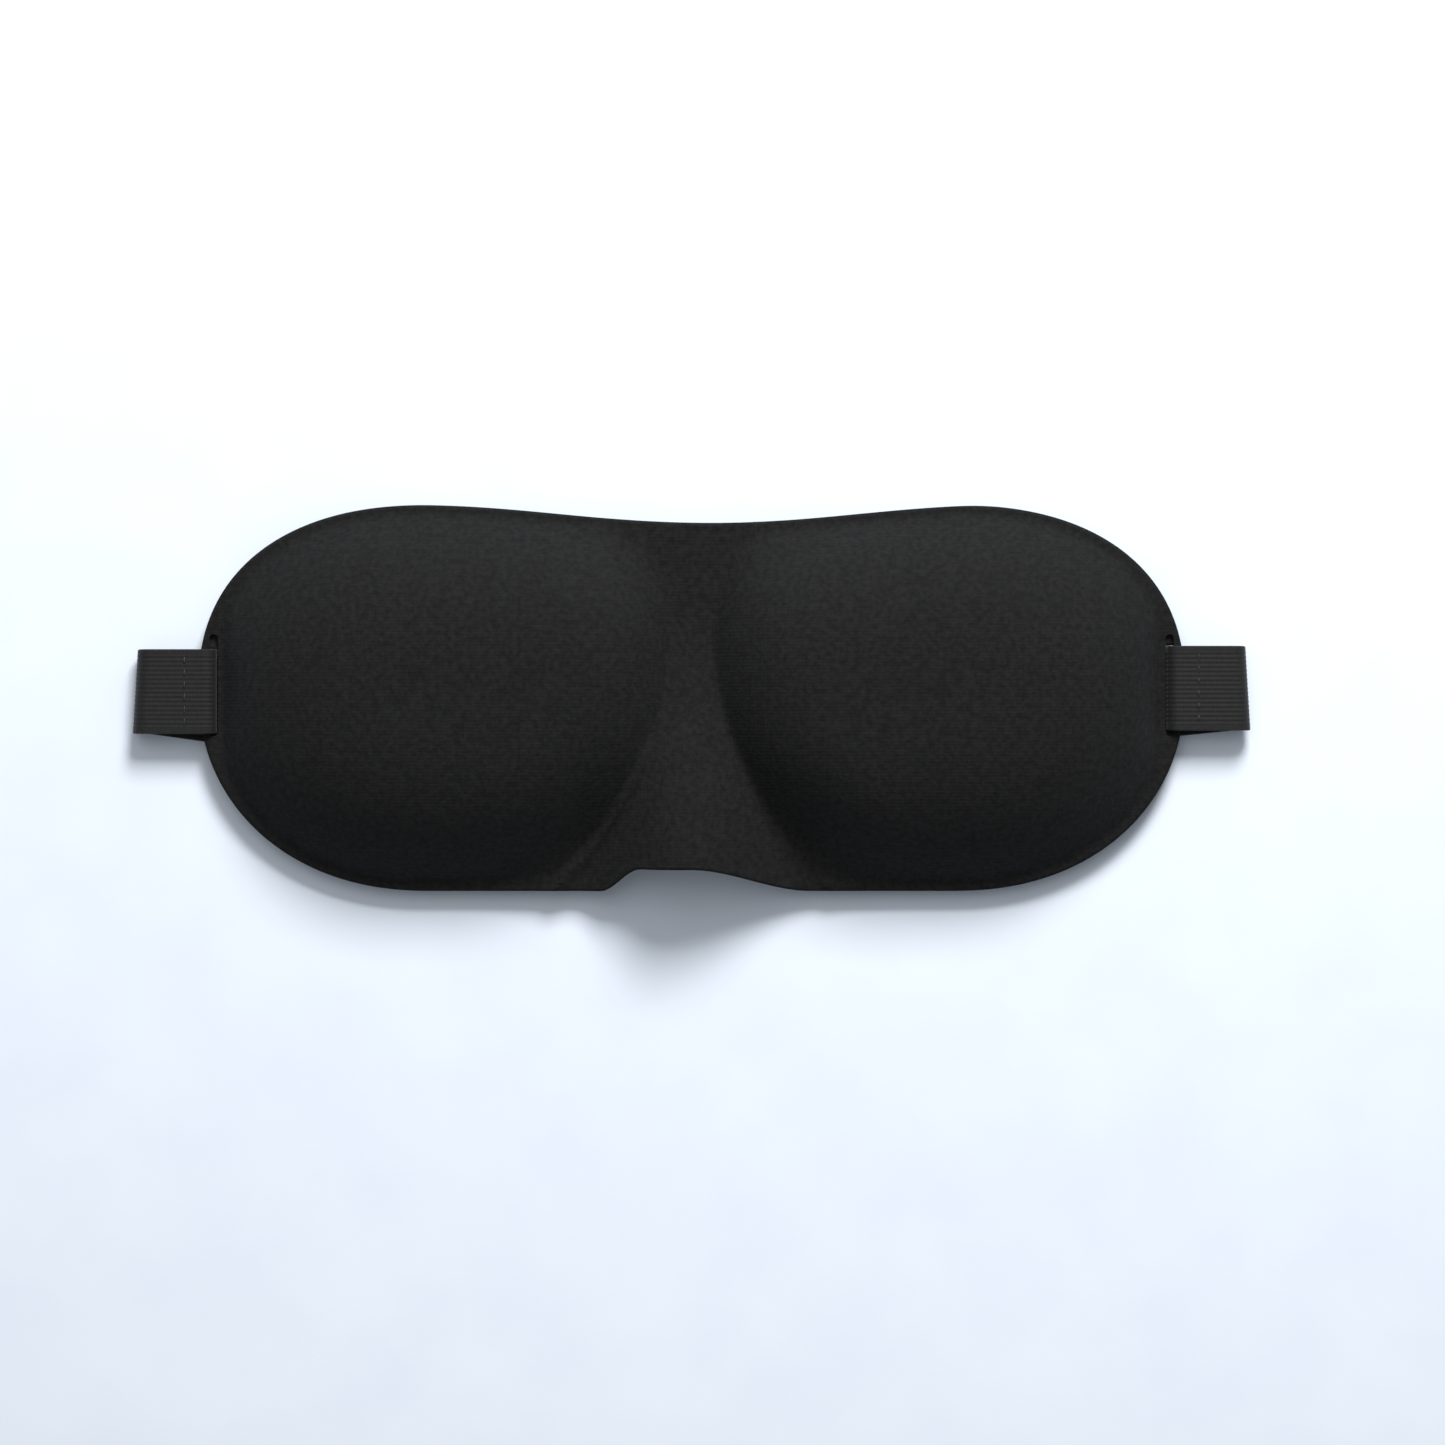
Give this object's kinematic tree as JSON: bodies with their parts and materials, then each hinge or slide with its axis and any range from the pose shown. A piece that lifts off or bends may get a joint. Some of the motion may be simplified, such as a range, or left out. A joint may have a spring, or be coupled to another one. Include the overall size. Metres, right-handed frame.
{
  "type": "sleep eye mask",
  "caption": "Contoured sleep mask with two moulded eye cups, a nose arch and a folded elastic strap in two halves joined by a hook-and-loop closure.",
  "frame": {"origin": "middle of the footprint, at the surface that the folded straps lie on", "axes": "+X along the mask towards the wearer's left ear, +Y towards the forehead edge, +Z out of the cups, away from the face"},
  "size_m": [0.2644, 0.0914, 0.0241],
  "materials": {
    "knit": "matte brushed polyester knit",
    "foam": "matte moulded foam",
    "lining": "matte smooth knit",
    "elastic": "ribbed woven elastic",
    "thread": "polyester sewing thread",
    "pile": "napped loop pile",
    "hook": "moulded nylon hooks"
  },
  "bodies": {
    "mask_left": {"outer_fabric_left": "knit", "outer_fabric_bridge": "knit", "foam_left": "foam", "foam_bridge": "foam", "lining_left": "lining", "lining_bridge": "lining"},
    "mask_right": {"outer_fabric_right": "knit", "foam_right": "foam", "lining_right": "lining"},
    "right_loop": {"right_strap_loop": "elastic", "right_strap_fold": "elastic", "right_bar_stitching": "thread"},
    "right_band": {"right_strap_band": "elastic", "pile_tape": "pile", "pile_stitching": "thread"},
    "left_loop": {"left_strap_loop": "elastic", "left_strap_fold": "elastic", "left_bar_stitching": "thread"},
    "left_band": {"left_strap_band": "elastic", "hook_tape": "hook", "hook_stitching": "thread"}
  },
  "joints": [
    {"name": "nose_bridge_flex", "type": "hinge", "parent": "mask_left", "child": "mask_right", "pos_m": [0, 0, 0.007], "axis": [0, -1, 0], "range_deg": [0, 35], "stiffness_Nm_per_rad": 0.02, "deforming": ["outer_fabric_bridge", "foam_bridge", "lining_bridge"]},
    {"name": "right_loop_swing", "type": "hinge", "parent": "mask_right", "child": "right_loop", "pos_m": [0.115, 0.0023, 0.0042], "axis": [0, -1, 0], "range_deg": [0, 40]},
    {"name": "right_unfold", "type": "hinge", "parent": "right_loop", "child": "right_band", "pos_m": [0.1281, 0.0023, 0.0035], "axis": [0.0599, -0.9982, 0], "range_deg": [0, 178], "deforming": ["right_strap_fold"]},
    {"name": "left_loop_swing", "type": "hinge", "parent": "mask_left", "child": "left_loop", "pos_m": [-0.115, 0.0015, 0.0042], "axis": [0, 1, 0], "range_deg": [0, 40]},
    {"name": "left_unfold", "type": "hinge", "parent": "left_loop", "child": "left_band", "pos_m": [-0.1281, 0.0015, 0.0035], "axis": [0.0599, 0.9982, 0], "range_deg": [0, 178], "deforming": ["left_strap_fold"]}
  ],
  "couplings": [
    {"joint": "left_loop_swing", "follows": "right_loop_swing", "ratio": 1},
    {"joint": "left_unfold", "follows": "right_unfold", "ratio": 1}
  ]
}
